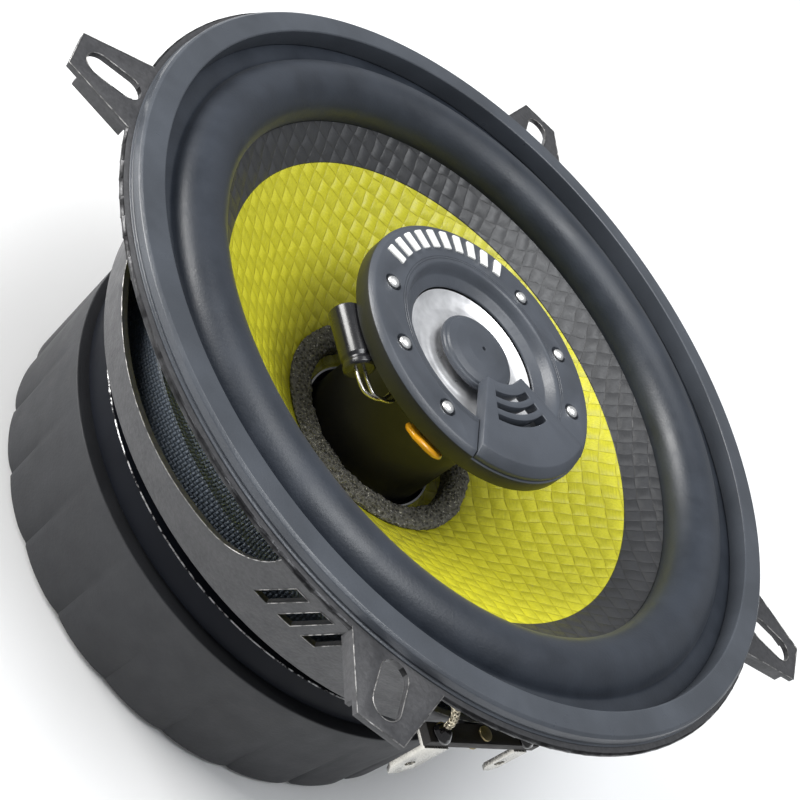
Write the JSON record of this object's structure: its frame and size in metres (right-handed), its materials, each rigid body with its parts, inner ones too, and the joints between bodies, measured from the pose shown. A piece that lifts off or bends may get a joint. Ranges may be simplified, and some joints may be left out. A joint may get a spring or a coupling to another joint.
{
  "type": "coaxial car speaker",
  "caption": "Round coaxial car speaker with a slotted-ear steel basket, woven cone, rubber half-roll surround, covered magnet and a tweeter on a central post.",
  "frame": {"origin": "on the cone's axis, in the rear face of the steel rim that bears on the door panel", "axes": "+Z out of the cone towards the listener; two fixing ears lie on +Y and -Y, and the other two are swung 6.3 degrees from +X and -X towards -Y; the terminals are in the -Y +X quarter"},
  "size_m": [0.1504, 0.1504, 0.0629],
  "materials": {
    "black_steel": "satin powder coat, bare at the cut edges",
    "trim": "satin",
    "surround_rubber": "soft sheen",
    "woven_yellow": "resin-coated weave",
    "woven_dark": "resin-coated weave",
    "foam": "open-cell foam",
    "spider_cloth": "coarse resin-set weave",
    "former": "dull",
    "copper": "enamelled wire",
    "plate_steel": "gloss black",
    "magnet_ferrite": "dull grey ceramic",
    "bare_steel": "zinc plated",
    "cover_rubber": "matte moulded",
    "tweeter_plastic": "fine textured",
    "stud_metal": "bright",
    "dish_metal": "satin",
    "sleeve_black": "gloss",
    "fuse_orange": "glossy resin",
    "tinned_wire": "tinned",
    "phenolic": "pressed board",
    "tinned_blade": "tinned",
    "eyelet_brass": "dull",
    "braid": "tinned copper braid"
  },
  "bodies": {
    "frame": {"basket": "black_steel", "trim_ring": "trim", "surround": "surround_rubber", "spider": "spider_cloth", "top_plate": "plate_steel", "magnet": "magnet_ferrite", "tweeter_magnet": "magnet_ferrite", "yoke": "bare_steel", "post_screw": "bare_steel", "basket_rivets": "bare_steel", "tweeter_pot": "bare_steel", "tweeter_pole_plate": "bare_steel", "magnet_cover": "cover_rubber", "tweeter_ring": "tweeter_plastic", "tweeter_bridge": "tweeter_plastic", "phase_plug": "tweeter_plastic", "tweeter_tub": "tweeter_plastic", "tweeter_post": "tweeter_plastic", "tweeter_studs": "stud_metal", "capacitor": "sleeve_black", "tweeter_fuse": "fuse_orange", "capacitor_leads": "tinned_wire", "fuse_leads": "tinned_wire", "terminal_board": "phenolic", "terminal_tab_positive": "tinned_blade", "terminal_tab_negative": "tinned_blade", "terminal_eyelets": "eyelet_brass", "tinsel_lead_positive": "braid", "tinsel_lead_negative": "braid"},
    "moving_cone": {"cone": "woven_yellow", "cone_edge_band": "woven_dark", "throat_foam": "foam", "coil_former": "former", "coil_winding": "copper"},
    "tweeter_dome": {"tweeter_diaphragm": "dish_metal", "tweeter_coil": "copper"}
  },
  "joints": [
    {"name": "cone_excursion", "type": "slide", "parent": "frame", "child": "moving_cone", "axis": [0, 0, 1], "range_m": [-0.003, 0.003], "stiffness_N_per_m": 1500, "deforming": ["surround", "spider", "tinsel_lead_positive", "tinsel_lead_negative"]},
    {"name": "tweeter_excursion", "type": "slide", "parent": "frame", "child": "tweeter_dome", "axis": [0, 0, 1], "range_m": [-0.0002, 0.0002], "stiffness_N_per_m": 1500}
  ]
}
